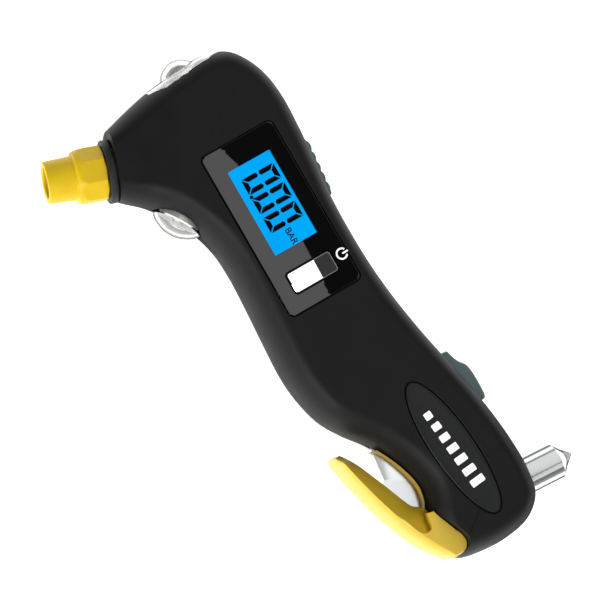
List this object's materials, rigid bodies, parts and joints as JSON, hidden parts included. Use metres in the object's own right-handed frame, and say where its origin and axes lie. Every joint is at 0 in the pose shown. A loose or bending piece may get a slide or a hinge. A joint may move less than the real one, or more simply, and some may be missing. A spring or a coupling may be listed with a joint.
{
  "type": "tire pressure gauge",
  "caption": "Handheld digital tyre pressure gauge with an angled valve nozzle, backlit display, head and valve lamps, hooked belt cutter and pointed glass hammer.",
  "frame": {"origin": "on the flat back of the handle, below the middle of the display, where the gauge lies on a table", "axes": "+Z out of the display side, +Y along the handle towards the head, -X towards the valve nozzle, +X towards the glass hammer"},
  "size_m": [0.0938, 0.1626, 0.0285],
  "materials": {
    "shell": "soft-touch moulded",
    "gloss_black": "polished",
    "lcd": "backlit",
    "diffuser": "matte",
    "chrome": "polished",
    "yellow": "satin moulded",
    "collar": "matte",
    "rubber": "matte",
    "brass": "turned",
    "clear": "clear moulded",
    "slate": "matte",
    "steel": "turned",
    "board": "coated",
    "chip": "moulded",
    "cell": "sleeved",
    "white": "moulded"
  },
  "bodies": {
    "housing": {"front_shell": "shell", "rear_shell": "shell", "nameplate": "gloss_black", "window_lens": "gloss_black", "lcd_panel": "lcd", "lcd_backlight": "diffuser", "power_switch": "chip", "main_board": "board", "gauge_chip": "chip", "buzzer": "chip", "valve_nozzle": "yellow", "nozzle_collar": "collar", "nozzle_seal": "rubber", "depressor_pin": "brass", "air_tube": "rubber", "pressure_sensor": "chip", "headlamp_lens": "clear", "headlamp_reflector": "chrome", "headlamp_led": "clear", "headlamp_board": "board", "valve_lamp_lens": "clear", "valve_lamp_seat": "white", "valve_lamp_led": "clear", "lamp_switch": "chip", "trigger_switch": "chip", "cutter_blade": "steel", "cutter_guard": "yellow", "blade_pin_1": "steel", "blade_pin_2": "steel", "hammer_shank": "steel", "hammer_point": "steel", "cell_1": "cell", "cell_2": "cell", "contact_upper": "steel", "contact_lower": "steel", "shell_screw_1": "steel", "shell_screw_2": "steel", "shell_screw_3": "steel", "shell_screw_4": "steel", "shell_screw_5": "steel"},
    "power_key": {"power_button": "chrome"},
    "lamp_key": {"lamp_button": "slate"},
    "trigger_key": {"trigger_button": "slate"},
    "door": {"battery_door": "shell"}
  },
  "joints": [
    {"name": "power_press", "type": "slide", "parent": "housing", "child": "power_key", "axis": [0, 0, -1], "range_m": [0, 0.0006], "stiffness_N_per_m": 900, "springref_m": -0.0003},
    {"name": "lamp_press", "type": "slide", "parent": "housing", "child": "lamp_key", "axis": [-1, 0, 0], "range_m": [0, 0.0008], "stiffness_N_per_m": 900, "springref_m": -0.0003},
    {"name": "trigger_press", "type": "slide", "parent": "housing", "child": "trigger_key", "axis": [-0.9774, -0.2113, 0], "range_m": [0, 0.001], "stiffness_N_per_m": 900, "springref_m": -0.0003},
    {"name": "door_hinge", "type": "hinge", "parent": "housing", "child": "door", "pos_m": [0.01463, -0.0934, 0], "axis": [-0.9613, -0.2756, 0], "range_deg": [0, 70]}
  ]
}
